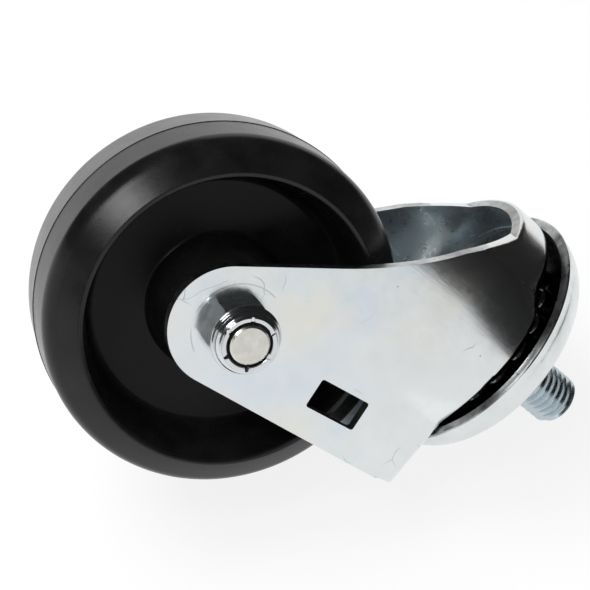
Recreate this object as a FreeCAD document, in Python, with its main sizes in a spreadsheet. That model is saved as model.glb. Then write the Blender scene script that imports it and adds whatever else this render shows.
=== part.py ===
import FreeCAD, Part
import math
import os
import Sketcher

# Swivel castor with a threaded stem, in millimetres.
# The origin is the centre of the cap's top face, where the stem leaves it.
# +Z runs up the stem, +X points the way the wheel trails, and the axle lies along Y.

doc = FreeCAD.newDocument("Castor")
sizes = doc.addObject("Spreadsheet::Sheet", "Sizes")


# Driving sizes

# Stem and king pin, one turned piece
stem_dia = 12.0  # major diameter of the threaded stem
stem_length = 23.7  # stem above the cap
stem_chamfer = 1.2  # chamfer on the stem's end
collar_dia = 16.8  # collar that bears under the cap
collar_height = 2.0  # thickness of that collar
neck_dia = 12.6  # neck below the thread, pressed into the cap's hole
pin_dia = 9.4  # king pin below the collar
rivet_dia = 15.4  # formed head of the king pin
rivet_height = 3.0  # height of the formed head

# Cap
cap_sheet = 2.4  # sheet of the cap
cap_flat = 20.7  # radius of the cap's flat top
cap_shoulder = 8.1  # outer radius of the cap's rounded shoulder
cap_flare = 0.9  # how far the skirt flares to its rim
rim_gap = 0.4  # clearance between the cap's rim and the fork's crown

# Ball races
ball_dia = 6.35  # upper balls
ball_count = 18  # number of upper balls
race_radius = 18.7  # radius of the upper ball circle
race_play = 0.1  # clearance between a ball and its race
race_rise = 0.95  # height of the race above the crown
race_inset = 0.05  # how far the race's foot stays inside the legs' outer faces
race_land = 0.4  # flat land outside the race
low_ball_dia = 4.7625  # lower balls
low_ball_count = 13  # number of lower balls
cup_sheet = 1.6  # sheet of the lower race cup
cup_gap = 0.4  # clearance between the cup and the crown's underside
cup_side_gap = 1.0  # clearance between the cup and the fork's walls

# Fork, pressed from one sheet
sheet = 2.5  # sheet of the fork
bend_radius = 3.45  # outer radius where the walls bend into the crown
boss_gap = 3.5  # clearance between the fork's raised boss and the cap
boss_hole = 15.8  # hole in the boss for the king pin
back_reach = 27.3  # swivel axis to the back of the fork
back_height = 7.05  # crown's underside to the lower edge at the back
trail = 28.5  # swivel axis to the axle
eye_radius = 12.55  # rounded end of each leg
eye_ahead = 0.56  # axle to the middle of that round, away from the swivel axis
eye_below = 1.8  # axle down to the middle of that round
arch_gap = 10.25  # tread to the underside of the crown
waist_foot = 6.43  # lower end of the legs' hollow leading curve, ahead of the swivel axis
waist_foot_drop = 38.93  # crown's underside down to the lower end of that curve
waist_x = 11.81  # upper end of that curve, behind the swivel axis
waist_drop = 18.87  # crown's underside down to the upper end of that curve
notch_x = 21.3  # where the leading edge meets the back's lower edge, behind the swivel axis
notch_drop = 8.95  # crown's underside down to that corner
front_x = 37.2  # legs' trailing edge where it starts to curve in
front_drop = 8.25  # crown's underside down to the start of that curve
front_round = 70.0  # radius of that curve
crown_front = 29.5  # swivel axis to the middle of the crown's hollow front edge
crown_hollow = 29.5  # radius of the crown's hollow front edge
slot_width = 6.65  # slot in each leg
slot_length = 12.25  # length of the slot
slot_corner = 0.6  # corner radius of the slot
slot_lean = 7.5  # lean of the slot, in degrees
slot_height = 28.05  # axle to the middle of the slot
slot_ahead = 0.2  # axle to the middle of the slot, away from the swivel axis

# Wheel, one moulding
wheel_dia = 75.0  # across the tread
tread_width = 31.25  # width of the wheel at its rim
shoulder_inset = 2.9  # rim face to the crease of the shoulder
crown_drop = 2.95  # fall of the tread from its middle to the crease
tread_half = 9.0  # middle plane to where the tread's flatter part ends
tread_fall = 0.45  # fall of the tread there
lip_drop = 7.4  # tread's middle to the lip of the recess
lip_round = 0.5  # rounding of that lip
rim_root = 10.35  # tread's middle to the foot of the recess wall
root_round = 2.0  # fillet at the foot of the recess wall
web = 4.9  # thickness of the web
hub_foot = 29.9  # diameter of the hub where it leaves the web
hub_end = 22.6  # diameter of the hub at its ends
hub_length = 32.7  # length of the hub
side_play = 0.55  # clearance between the hub and each leg

# Axle
axle_dia = 8.0  # axle bolt
axle_hole_gap = 0.15  # radial clearance of the bolt in the legs
sleeve_dia = 11.0  # sleeve that spans the legs
sleeve_gap = 0.1  # radial clearance of the bolt in the sleeve
wheel_gap = 0.08  # radial clearance of the sleeve in the hub
hex_flats = 13.0  # bolt head and nut across flats
head_height = 5.3  # height of the bolt's head
nut_height = 5.7  # height of the nut's hexagon
collar_top = 1.3  # height of the nut's rolled collar
collar_wall = 0.9  # wall of that collar
collar_inset = 0.35  # nut's flats to the outside of that collar
collar_lip = 0.8  # clearance between the bolt and the collar's lip
insert_wall = 1.0  # wall of the nut's insert
insert_sink = 1.0  # how deep the insert sits in the hexagon
corner_slope = 0.5  # fall of the cut across a hexagon's corners, for each millimetre out
nut_turn = 14.0  # turn of the nut, in degrees
head_turn = 34.0  # turn of the bolt's head, in degrees
bolt_end = 1.7  # bolt standing proud of the nut
bolt_chamfer = 0.35  # chamfer on the bolt's end

# The sheet takes each of these sizes under its own name
driving = {name: value for name, value in globals().items() if isinstance(value, (int, float))}
for row, name in enumerate(driving, start=1):
    sizes.set("A%d" % row, name.replace("_", " "))
    sizes.set("B%d" % row, str(driving[name]))
    sizes.setAlias("B%d" % row, name)
doc.recompute()


# Levels and places worked out from the driving sizes

ball_level = "(Sizes.cap_sheet + Sizes.race_play + Sizes.ball_dia / 2)"
groove_round = "(Sizes.ball_dia / 2 + Sizes.race_play)"
groove_level = "(%s + %s)" % (ball_level, groove_round)
crown_level = "(%s + Sizes.race_rise)" % groove_level
under_level = "(%s + Sizes.sheet)" % crown_level
rim_level = "(%s - Sizes.rim_gap)" % crown_level
boss_level = "(Sizes.cap_sheet + Sizes.boss_gap)"
boss_radius = "(Sizes.race_radius - sqrt(%s^2 - (%s - %s)^2))" % (groove_round, boss_level, ball_level)
recess_radius = "(%s - Sizes.sheet)" % boss_radius
recess_level = "(%s + Sizes.sheet)" % boss_level
low_round = "(Sizes.low_ball_dia / 2 + Sizes.race_play)"
low_level = "(%s + %s)" % (recess_level, low_round)
low_radius = "(%s - %s)" % (recess_radius, low_round)
cup_level = "(%s + Sizes.cup_gap)" % under_level
cup_foot = "(%s + Sizes.cup_sheet)" % cup_level
axle_level = "(%s + Sizes.arch_gap + Sizes.wheel_dia / 2)" % under_level
inner_half = "(Sizes.hub_length / 2 + Sizes.side_play)"
outer_half = "(%s + Sizes.sheet)" % inner_half
back_centre = "(Sizes.back_reach - %s)" % outer_half
nut_level = "(%s + Sizes.nut_height)" % outer_half


def number(expression):
    """The value of an expression in the sheet's names."""
    return float(sizes.evalExpression(str(expression)))


# Helpers for bodies, sketches and features

def new_body(label):
    body = doc.addObject("PartDesign::Body", label)
    body.Label = label
    return body


def new_sketch(body, name, role, lift="0", lean=None):
    """A sketch on one of the body's own origin planes, lifted along the plane's normal."""
    sketch = body.newObject("Sketcher::SketchObject", name)
    plane = [item for item in body.Origin.OriginFeatures if item.Role == role][0]
    sketch.AttachmentSupport = [(plane, "")]
    sketch.MapMode = "FlatFace"
    sketch.setExpression("AttachmentOffset.Base.z", lift)
    if lean is not None:
        sketch.AttachmentOffset = FreeCAD.Placement(FreeCAD.Vector(), FreeCAD.Rotation(number(lean), 0, 0))
        sketch.setExpression("AttachmentOffset.Rotation.Angle", lean)
    return sketch


def fix(sketch, kind, geometry, end, expression):
    """Binds one coordinate of a point to an expression, or holds it on the axis where it is nought."""
    value = number(expression)
    if str(expression) == "0":
        axis = -2 if kind == "DistanceX" else -1
        sketch.addConstraint(Sketcher.Constraint("PointOnObject", geometry, end, axis))
        return
    index = sketch.addConstraint(Sketcher.Constraint(kind, -1, 1, geometry, end, value))
    sketch.setExpression("Constraints[%d]" % index, str(expression))


def arc_between(first, last, radius, turn):
    """The minor arc from one point to another, and whether it runs with the clock."""
    chord = last - first
    half = chord.Length / 2
    height = math.sqrt(max(radius * radius - half * half, 0))
    side = FreeCAD.Vector(-chord.y, chord.x, 0).normalize()
    clockwise = turn == "right"
    centre = first + chord * 0.5 + side * (-height if clockwise else height)
    start = last if clockwise else first
    end = first if clockwise else last
    begin = math.atan2(start.y - centre.y, start.x - centre.x)
    finish = math.atan2(end.y - centre.y, end.x - centre.x)
    circle = Part.Circle(centre, FreeCAD.Vector(0, 0, 1), radius)
    return Part.ArcOfCircle(circle, begin, finish), clockwise


def outline(sketch, corners):
    """A closed outline. Each corner is (x, y), or (x, y, radius, turn) where an arc leads to it."""
    points = [FreeCAD.Vector(number(corner[0]), number(corner[1]), 0) for corner in corners]
    ends = []
    base = sketch.GeometryCount
    for place, corner in enumerate(corners):
        first = points[place - 1]
        last = points[place]
        if len(corner) == 2:
            sketch.addGeometry(Part.LineSegment(first, last))
            ends.append((1, 2))
        else:
            arc, clockwise = arc_between(first, last, number(corner[2]), corner[3])
            sketch.addGeometry(arc)
            ends.append((2, 1) if clockwise else (1, 2))
    for place, corner in enumerate(corners):
        after = (place + 1) % len(corners)
        joint = Sketcher.Constraint("Coincident", base + place, ends[place][1], base + after, ends[after][0])
        sketch.addConstraint(joint)
        fix(sketch, "DistanceX", base + place, ends[place][1], corner[0])
        fix(sketch, "DistanceY", base + place, ends[place][1], corner[1])
        if len(corner) > 2:
            radius = Sketcher.Constraint("Radius", base + place, number(corner[2]))
            index = sketch.addConstraint(radius)
            sketch.setExpression("Constraints[%d]" % index, corner[2])


def circle(sketch, x, y, radius):
    centre = FreeCAD.Vector(number(x), number(y), 0)
    index = sketch.addGeometry(Part.Circle(centre, FreeCAD.Vector(0, 0, 1), number(radius)))
    fix(sketch, "DistanceX", index, 3, x)
    fix(sketch, "DistanceY", index, 3, y)
    bound = sketch.addConstraint(Sketcher.Constraint("Radius", index, number(radius)))
    sketch.setExpression("Constraints[%d]" % bound, str(radius))


def revolve(body, name, sketch, axis="V_Axis", cut=False):
    kind = "PartDesign::Groove" if cut else "PartDesign::Revolution"
    feature = body.newObject(kind, name)
    feature.Profile = sketch
    feature.ReferenceAxis = (sketch, [axis])
    feature.Angle = 360
    sketch.Visibility = False
    return feature


def pad(body, name, sketch, length, reverse=False):
    feature = body.newObject("PartDesign::Pad", name)
    feature.Profile = sketch
    feature.setExpression("Length", length)
    feature.Reversed = reverse
    return feature


def pocket(body, name, sketch, length=None, reverse=False):
    """A cut of a stated length to one side, or right through both ways."""
    feature = body.newObject("PartDesign::Pocket", name)
    feature.Profile = sketch
    if length is None:
        feature.Type = "ThroughAll"
        feature.Midplane = True
    else:
        feature.setExpression("Length", length)
        feature.Reversed = reverse
    return feature


def fillet(body, name, base, edges, radius):
    feature = body.newObject("PartDesign::Fillet", name)
    feature.Base = (base, edges)
    feature.setExpression("Radius", radius)
    return feature


def edges_where(feature, test):
    """The names of the feature's edges whose middle passes the test."""
    names = []
    for place, edge in enumerate(feature.Shape.Edges):
        middle = edge.valueAt((edge.FirstParameter + edge.LastParameter) / 2)
        if test(edge, middle):
            names.append("Edge%d" % (place + 1))
    return names


def at_axle(body):
    body.setExpression("Placement.Base.x", "Sizes.trail")
    body.setExpression("Placement.Base.z", "-" + axle_level)


# Threaded stem, collar, king pin and formed head, turned as one piece

def make_stem():
    body = new_body("threaded_stem")
    sketch = new_sketch(body, "StemProfile", "XZ_Plane")
    collar_foot = "-(Sizes.cap_sheet + Sizes.collar_height)"
    head_arc = "((Sizes.rivet_dia / 2)^2 + Sizes.rivet_height^2) / (2 * Sizes.rivet_height)"
    outline(sketch, [
        ("0", "Sizes.stem_length"),
        ("Sizes.stem_dia / 2 - Sizes.stem_chamfer", "Sizes.stem_length"),
        ("Sizes.stem_dia / 2", "Sizes.stem_length - Sizes.stem_chamfer"),
        ("Sizes.stem_dia / 2", "0"),
        ("Sizes.neck_dia / 2", "0"),
        ("Sizes.neck_dia / 2", "-Sizes.cap_sheet"),
        ("Sizes.collar_dia / 2", "-Sizes.cap_sheet"),
        ("Sizes.collar_dia / 2", collar_foot),
        ("Sizes.pin_dia / 2", collar_foot),
        ("Sizes.pin_dia / 2", "-" + cup_foot),
        ("Sizes.rivet_dia / 2", "-" + cup_foot),
        ("0", "-(%s + Sizes.rivet_height)" % cup_foot, head_arc, "right"),
    ])
    revolve(body, "Stem", sketch)
    return body


# Cap: a shallow dished pressing whose skirt hides the upper balls

def make_cap():
    body = new_body("top_cap")
    sketch = new_sketch(body, "CapProfile", "XZ_Plane")
    skirt = "(Sizes.cap_flat + Sizes.cap_shoulder)"
    outline(sketch, [
        ("Sizes.neck_dia / 2", "0"),
        ("Sizes.cap_flat", "0"),
        (skirt, "-Sizes.cap_shoulder", "Sizes.cap_shoulder", "right"),
        (skirt + " + Sizes.cap_flare", "-" + rim_level),
        (skirt + " + Sizes.cap_flare - Sizes.cap_sheet", "-" + rim_level),
        (skirt + " - Sizes.cap_sheet", "-Sizes.cap_shoulder"),
        ("Sizes.cap_flat", "-Sizes.cap_sheet", "Sizes.cap_shoulder - Sizes.cap_sheet", "left"),
        ("Sizes.neck_dia / 2", "-Sizes.cap_sheet"),
    ])
    revolve(body, "Cap", sketch)
    return body


# Lower race cup: a pressed washer with a ring groove, held by the king pin's head

def make_cup():
    body = new_body("lower_race_cup")
    sketch = new_sketch(body, "CupProfile", "XZ_Plane")
    half_groove = "sqrt(%s^2 - (%s - %s)^2)" % (low_round, cup_level, low_level)
    outer_round = "(%s + Sizes.cup_sheet)" % low_round
    half_ridge = "sqrt(%s^2 - (%s - %s)^2)" % (outer_round, cup_foot, low_level)
    cup_radius = "(%s - Sizes.cup_side_gap)" % inner_half
    outline(sketch, [
        ("Sizes.pin_dia / 2", "-" + cup_level),
        ("%s - %s" % (low_radius, half_groove), "-" + cup_level),
        ("%s + %s" % (low_radius, half_groove), "-" + cup_level, low_round, "left"),
        (cup_radius, "-" + cup_level),
        (cup_radius, "-" + cup_foot),
        ("%s + %s" % (low_radius, half_ridge), "-" + cup_foot),
        ("%s - %s" % (low_radius, half_ridge), "-" + cup_foot, outer_round, "right"),
        ("Sizes.pin_dia / 2", "-" + cup_foot),
    ])
    revolve(body, "Cup", sketch)
    return body


# Fork: one pressing, a hood with a rounded back, two legs and a raised race in its crown

def hood_outline(half, sketch):
    """The hood in plan: straight sides, a half-round back, and a front beyond the legs."""
    far = "(Sizes.trail + 2 * Sizes.eye_radius)"
    back = "-" + back_centre
    outline(sketch, [
        (far, half),
        (back, half),
        ("-(%s + %s)" % (back_centre, half), "0", half, "left"),
        (back, "-" + half, half, "left"),
        (far, "-" + half),
    ])


def tangent_from(point, centre, radius, side):
    """Where a line from a point touches a circle, on the stated side."""
    reach = point - centre
    angle = math.atan2(reach.y, reach.x) + side * math.acos(radius / reach.Length)
    return centre + FreeCAD.Vector(math.cos(angle), math.sin(angle), 0) * radius


def leg_outline(sketch):
    """The fork in side view: rounded eye, straight trailing edge, and a hollow leading edge."""
    eye = number("Sizes.eye_radius")
    centre_level = "(%s + Sizes.eye_below)" % axle_level
    centre_x = "(Sizes.trail + Sizes.eye_ahead)"
    foot_level = "(%s + Sizes.waist_foot_drop)" % under_level
    waist_level = "(%s + Sizes.waist_drop)" % under_level
    notch_level = "(%s + Sizes.notch_drop)" % under_level
    front_level = "(%s + Sizes.front_drop)" % under_level
    back_level = "(%s + Sizes.back_height)" % under_level
    outside = "-(Sizes.back_reach + Sizes.sheet)"
    above = "(Sizes.sheet - %s)" % crown_level

    def place(x, level):
        return FreeCAD.Vector(number(x), -number(level), 0)

    centre = place(centre_x, centre_level)
    foot = place("Sizes.waist_foot", foot_level)
    waist = place("-Sizes.waist_x", waist_level)
    notch = place("-Sizes.notch_x", notch_level)
    front_end = place("Sizes.front_x", front_level)
    back_corner = place("-Sizes.back_reach", back_level)
    low = place(outside, back_level)
    high = FreeCAD.Vector(low.x, number(above), 0)

    # The straight part of the leading edge touches the eye, and the hollow curve runs on from it
    touch = tangent_from(foot, centre, eye, 1)
    outward = (touch - centre).normalize()
    span = foot - waist
    bend = -span.Length ** 2 / (2 * outward.dot(span))
    hollow = foot + outward * bend

    # The trailing edge touches the eye too, and curves in a little below the crown
    tangent = tangent_from(front_end, centre, eye, -1)
    edge = (front_end - tangent).normalize()
    rounding = number("Sizes.front_round")
    corner = front_end + FreeCAD.Vector(-edge.y, edge.x, 0) * rounding
    top = FreeCAD.Vector(corner.x + math.sqrt(rounding ** 2 - (high.y - corner.y) ** 2), high.y, 0)

    def arc(middle, radius, first, last):
        start = math.atan2(first.y - middle.y, first.x - middle.x)
        end = math.atan2(last.y - middle.y, last.x - middle.x)
        return Part.ArcOfCircle(Part.Circle(middle, FreeCAD.Vector(0, 0, 1), radius), start, end)

    line = Part.LineSegment
    for item in (arc(centre, eye, touch, tangent), line(tangent, front_end), arc(corner, rounding, front_end, top),
                 line(top, high), line(high, low), line(low, back_corner), line(back_corner, notch),
                 line(notch, waist), arc(hollow, bend, foot, waist), line(foot, touch)):
        sketch.addGeometry(item)
    fix(sketch, "DistanceX", 0, 3, centre_x)
    fix(sketch, "DistanceY", 0, 3, "-" + centre_level)
    for kind, first, end, second, start in (
            ("Tangent", 0, 2, 1, 1), ("Tangent", 1, 2, 2, 1), ("Coincident", 2, 2, 3, 1),
            ("Coincident", 3, 2, 4, 1), ("Coincident", 4, 2, 5, 1), ("Coincident", 5, 2, 6, 1),
            ("Coincident", 6, 2, 7, 1), ("Coincident", 7, 2, 8, 2), ("Tangent", 8, 1, 9, 1),
            ("Tangent", 9, 2, 0, 1)):
        sketch.addConstraint(Sketcher.Constraint(kind, first, end, second, start))
    for geometry, radius in ((0, "Sizes.eye_radius"), (2, "Sizes.front_round")):
        index = sketch.addConstraint(Sketcher.Constraint("Radius", geometry, number(radius)))
        sketch.setExpression("Constraints[%d]" % index, radius)
    fix(sketch, "DistanceY", 2, 2, above)
    fix(sketch, "DistanceY", 3, 2, above)
    for geometry, x, level in ((1, "Sizes.front_x", front_level), (4, outside, back_level),
                               (5, "-Sizes.back_reach", back_level), (6, "-Sizes.notch_x", notch_level),
                               (7, "-Sizes.waist_x", waist_level)):
        fix(sketch, "DistanceX", geometry, 2, x)
        fix(sketch, "DistanceY", geometry, 2, "-" + level)
    fix(sketch, "DistanceX", 3, 2, outside)
    fix(sketch, "DistanceX", 9, 1, "Sizes.waist_foot")
    fix(sketch, "DistanceY", 9, 1, "-" + foot_level)


def frame_outline(sketch):
    """A frame well outside the fork, so that all beyond the legs' outline is cut away."""
    wide = "(Sizes.trail + 3 * Sizes.eye_radius)"
    deep = "(%s + 2 * Sizes.eye_radius)" % axle_level
    outline(sketch, [("-" + wide, "0"), (wide, "0"), (wide, "-" + deep), ("-" + wide, "-" + deep)])


def rounded_slot(sketch):
    """An upright slot with rounded corners, on a sketch that leans about the part's origin."""
    drop = "(%s - Sizes.slot_height)" % axle_level
    ahead = "(Sizes.trail + Sizes.slot_ahead)"
    middle_x = "(%s * cos(Sizes.slot_lean) - %s * sin(Sizes.slot_lean))" % (ahead, drop)
    middle_z = "(-%s * sin(Sizes.slot_lean) - %s * cos(Sizes.slot_lean))" % (ahead, drop)
    left = "%s - Sizes.slot_width / 2" % middle_x
    right = "%s + Sizes.slot_width / 2" % middle_x
    low = "%s - Sizes.slot_length / 2" % middle_z
    high = "%s + Sizes.slot_length / 2" % middle_z
    corner = "Sizes.slot_corner"
    outline(sketch, [
        ("%s - %s" % (right, corner), low),
        (right, "%s + %s" % (low, corner), corner, "left"),
        (right, "%s - %s" % (high, corner)),
        ("%s - %s" % (right, corner), high, corner, "left"),
        ("%s + %s" % (left, corner), high),
        (left, "%s - %s" % (high, corner), corner, "left"),
        (left, "%s + %s" % (low, corner)),
        ("%s + %s" % (left, corner), low, corner, "left"),
    ])


def make_fork():
    body = new_body("fork")
    depth = "%s + 2 * Sizes.eye_radius - %s" % (axle_level, crown_level)
    outer_plan = new_sketch(body, "OuterPlan", "XY_Plane", "-" + crown_level)
    hood_outline(outer_half, outer_plan)
    hood = pad(body, "Hood", outer_plan, depth, reverse=True)
    doc.recompute()
    crown_z = -number(crown_level)
    front = number("Sizes.trail") + number("Sizes.eye_radius")
    rounded = edges_where(hood, lambda edge, middle: abs(middle.z - crown_z) < 0.01 and middle.x < front)
    fillet(body, "OuterBend", hood, rounded, "Sizes.bend_radius")

    boss = new_sketch(body, "BossProfile", "XZ_Plane")
    foot = "-(%s + Sizes.bend_radius)" % crown_level
    land = "Sizes.race_radius + Sizes.race_land"
    race_foot = outer_half + " - Sizes.race_inset"
    outline(boss, [
        ("0", "-" + boss_level),
        (boss_radius, "-" + boss_level),
        ("Sizes.race_radius", "-" + groove_level, groove_round, "left"),
        (land, "-" + groove_level),
        (race_foot, "-" + crown_level),
        (race_foot, foot),
        ("0", foot),
    ])
    revolve(body, "RaceBoss", boss)

    inner_plan = new_sketch(body, "InnerPlan", "XY_Plane", "-" + under_level)
    hood_outline(inner_half, inner_plan)
    hollow = pocket(body, "Hollow", inner_plan, depth)
    doc.recompute()
    under_z = -number(under_level)
    half = number(inner_half) + 0.01
    inside = edges_where(hollow, lambda edge, middle: abs(middle.z - under_z) < 0.01
                         and abs(middle.y) < half and middle.x < front and edge.Length > 1
                         and middle.x > -number(back_centre) - half)
    fillet(body, "InnerBend", hollow, inside, "Sizes.bend_radius - Sizes.sheet")

    recess = new_sketch(body, "RecessProfile", "XZ_Plane")
    outline(recess, [
        ("0", "-(Sizes.cap_sheet + Sizes.race_play)"),
        ("Sizes.boss_hole / 2", "-(Sizes.cap_sheet + Sizes.race_play)"),
        ("Sizes.boss_hole / 2", "-" + recess_level),
        (low_radius, "-" + recess_level),
        (recess_radius, "-" + low_level, low_round, "right"),
        (recess_radius, foot),
        ("0", foot),
    ])
    revolve(body, "Recess", recess, cut=True)

    side = new_sketch(body, "LegOutline", "XZ_Plane")
    leg_outline(side)
    frame_outline(side)
    pocket(body, "Legs", side)

    crown_edge = new_sketch(body, "CrownFront", "XY_Plane", "-" + boss_level)
    circle(crown_edge, "Sizes.crown_front + Sizes.crown_hollow", "0", "Sizes.crown_hollow")
    pocket(body, "CrownEdge", crown_edge, "%s + Sizes.sheet - %s" % (under_level, boss_level))

    holes = new_sketch(body, "AxleHoles", "XZ_Plane")
    circle(holes, "Sizes.trail", "-" + axle_level, "Sizes.axle_dia / 2 + Sizes.axle_hole_gap")
    pocket(body, "AxleHole", holes)

    slots = new_sketch(body, "Slots", "XZ_Plane", lean="Sizes.slot_lean")
    rounded_slot(slots)
    pocket(body, "SlotHoles", slots)
    return body


# Wheel: one moulding with a deep recess each side, a web in the middle and a plain hub

def make_wheel():
    body = new_body("wheel")
    sketch = new_sketch(body, "WheelProfile", "YZ_Plane")
    shoulder_y = "(Sizes.tread_width / 2 - Sizes.shoulder_inset)"
    tread_round = "((Sizes.tread_half^2 + Sizes.tread_fall^2) / (2 * Sizes.tread_fall))"
    across = "(%s - Sizes.tread_half)" % shoulder_y
    down = "(Sizes.crown_drop - Sizes.tread_fall)"
    hang = "(%s * (%s - Sizes.tread_fall) - %s * Sizes.tread_half)" % (down, tread_round, across)
    shoulder_round = "(%s^2 + %s^2) * %s / (2 * %s)" % (across, down, tread_round, hang)
    face = "Sizes.tread_width / 2"
    lip = "(Sizes.wheel_dia / 2 - Sizes.lip_drop)"
    root = "(Sizes.wheel_dia / 2 - Sizes.rim_root)"
    floor = "Sizes.web / 2"
    side = [
        ("Sizes.tread_half", "Sizes.wheel_dia / 2 - Sizes.tread_fall", tread_round, "right"),
        (shoulder_y, "Sizes.wheel_dia / 2 - Sizes.crown_drop", shoulder_round, "right"),
        (face, lip + " + Sizes.lip_round"),
        (face + " - Sizes.lip_round", lip, "Sizes.lip_round", "right"),
        ("%s + Sizes.root_round" % floor, root),
        (floor, root + " - Sizes.root_round", "Sizes.root_round", "left"),
        (floor, "Sizes.hub_foot / 2"),
        ("Sizes.hub_length / 2", "Sizes.hub_end / 2"),
        ("Sizes.hub_length / 2", "Sizes.sleeve_dia / 2 + Sizes.wheel_gap"),
    ]
    start = ("0", "Sizes.wheel_dia / 2", tread_round, "right")
    other = mirrored([start] + side)
    outline(sketch, [start] + side + other)
    revolve(body, "Wheel", sketch, axis="H_Axis")
    at_axle(body)
    return body


def mirrored(half):
    """The same run of corners on the other side, in the order that closes the outline."""
    corners = []
    for place in range(len(half) - 1, 0, -1):
        x, y = half[place][:2]
        after = half[place + 1] if place + 1 < len(half) else ()
        corners.append(("-(%s)" % x, y) + tuple(after[2:]))
    return corners


# Axle bolt, its nut and the sleeve between the legs

def hexagon(sketch, turn):
    """A hexagon of the stated flats, turned about the axle."""
    for place in range(6):
        angle = "(%s + %d * 360 / 6)" % (turn, place)
        after = "(%s + %d * 360 / 6)" % (turn, place + 1)
        across = "Sizes.hex_flats / sqrt(3)"
        points = [FreeCAD.Vector(number("%s * cos(%s)" % (across, item)),
                                 number("%s * sin(%s)" % (across, item)), 0) for item in (angle, after)]
        sketch.addGeometry(Part.LineSegment(points[0], points[1]))
        fix(sketch, "DistanceX", place, 1, "%s * cos(%s)" % (across, angle))
        fix(sketch, "DistanceY", place, 1, "%s * sin(%s)" % (across, angle))
    for place in range(6):
        after = (place + 1) % 6
        sketch.addConstraint(Sketcher.Constraint("Coincident", place, 2, after, 1))


def corner_cut(body, name, outer):
    """Turns the corners of a hexagon down to a cone at its outer face."""
    sketch = new_sketch(body, name, "YZ_Plane")
    flat = "Sizes.hex_flats / 2"
    fall = "Sizes.corner_slope * %s" % flat
    sign, other = ("-", "+") if outer.startswith("-") else ("+", "-")
    back = "%s %s %s" % (outer, other, fall)
    beyond = "%s %s %s" % (outer, sign, fall)
    outline(sketch, [(outer, flat), (back, "Sizes.hex_flats"), (beyond, "Sizes.hex_flats"), (beyond, flat)])
    revolve(body, name + "Cone", sketch, axis="H_Axis", cut=True)


def make_bolt():
    body = new_body("axle_bolt")
    head_face = outer_half
    head = new_sketch(body, "HeadHexagon", "XZ_Plane", "-%s" % head_face)
    hexagon(head, "Sizes.head_turn")
    pad(body, "Head", head, "Sizes.head_height", reverse=True)
    corner_cut(body, "HeadCorners", "(%s + Sizes.head_height)" % head_face)
    shank = new_sketch(body, "ShankProfile", "YZ_Plane")
    tip = "-(%s + Sizes.collar_top + Sizes.bolt_end)" % nut_level
    radius = "Sizes.axle_dia / 2"
    root = head_face + " + Sizes.head_height / 2"
    outline(shank, [
        (root, "0"),
        (root, radius),
        (tip + " + Sizes.bolt_chamfer", radius),
        (tip, radius + " - Sizes.bolt_chamfer"),
        (tip, "0"),
    ])
    revolve(body, "Shank", shank, axis="H_Axis")
    at_axle(body)
    return body


def make_nut():
    body = new_body("axle_nut")
    hexed = new_sketch(body, "NutHexagon", "XZ_Plane", outer_half)
    hexagon(hexed, "Sizes.nut_turn")
    pad(body, "NutBlock", hexed, "Sizes.nut_height")
    corner_cut(body, "NutCorners", "-" + nut_level)
    collar = new_sketch(body, "CollarProfile", "YZ_Plane")
    outer = "(Sizes.hex_flats / 2 - Sizes.collar_inset)"
    inner = "(Sizes.axle_dia / 2 + Sizes.insert_wall)"
    lip = "(Sizes.axle_dia / 2 + Sizes.collar_lip)"
    foot = "-(%s - Sizes.insert_sink)" % nut_level
    top = "(%s + Sizes.collar_top)" % nut_level
    outline(collar, [
        (foot, inner),
        (foot, outer),
        ("-(%s - Sizes.collar_wall)" % top, outer),
        ("-" + top, outer + " - Sizes.collar_wall", "Sizes.collar_wall", "left"),
        ("-" + top, lip),
        ("-(%s - Sizes.collar_wall)" % top, lip),
        ("-(%s - Sizes.collar_wall)" % top, inner),
    ])
    revolve(body, "Collar", collar, axis="H_Axis")
    bore = new_sketch(body, "NutBore", "XZ_Plane", outer_half)
    circle(bore, "0", "0", "Sizes.axle_dia / 2")
    pocket(body, "NutHole", bore)
    seat = new_sketch(body, "InsertSeat", "XZ_Plane", nut_level + " - Sizes.insert_sink")
    circle(seat, "0", "0", inner)
    pocket(body, "InsertHole", seat, "Sizes.insert_sink + Sizes.collar_top - Sizes.collar_wall", reverse=True)
    at_axle(body)
    return body


def make_insert():
    body = new_body("nut_insert")
    sketch = new_sketch(body, "InsertProfile", "YZ_Plane")
    low = "-(%s - Sizes.insert_sink)" % nut_level
    high = "-(%s + Sizes.collar_top - Sizes.collar_wall)" % nut_level
    outer = "Sizes.axle_dia / 2 + Sizes.insert_wall"
    outline(sketch, [
        (low, "Sizes.axle_dia / 2"),
        (low, outer),
        (high, outer),
        (high, "Sizes.axle_dia / 2"),
    ])
    revolve(body, "Insert", sketch, axis="H_Axis")
    at_axle(body)
    return body


def make_sleeve():
    body = new_body("axle_sleeve")
    sketch = new_sketch(body, "SleeveProfile", "YZ_Plane")
    inner = "Sizes.axle_dia / 2 + Sizes.sleeve_gap"
    outline(sketch, [
        ("-" + inner_half, inner),
        ("-" + inner_half, "Sizes.sleeve_dia / 2"),
        (inner_half, "Sizes.sleeve_dia / 2"),
        (inner_half, inner),
    ])
    revolve(body, "Sleeve", sketch, axis="H_Axis")
    at_axle(body)
    return body


# Balls: loose, round two circles about the king pin

def make_balls(name, count, diameter, radius, level):
    balls = []
    for place in range(int(number(count))):
        label = "%s_%02d" % (name, place + 1)
        ball = doc.addObject("Part::Sphere", label)
        ball.Label = label
        ball.setExpression("Radius", "%s / 2" % diameter)
        turn = "(%d * 360 / %s)" % (place, count)
        ball.setExpression("Placement.Base.x", "%s * cos(%s)" % (radius, turn))
        ball.setExpression("Placement.Base.y", "%s * sin(%s)" % (radius, turn))
        ball.setExpression("Placement.Base.z", "-" + level)
        balls.append(ball)
    return balls


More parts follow.
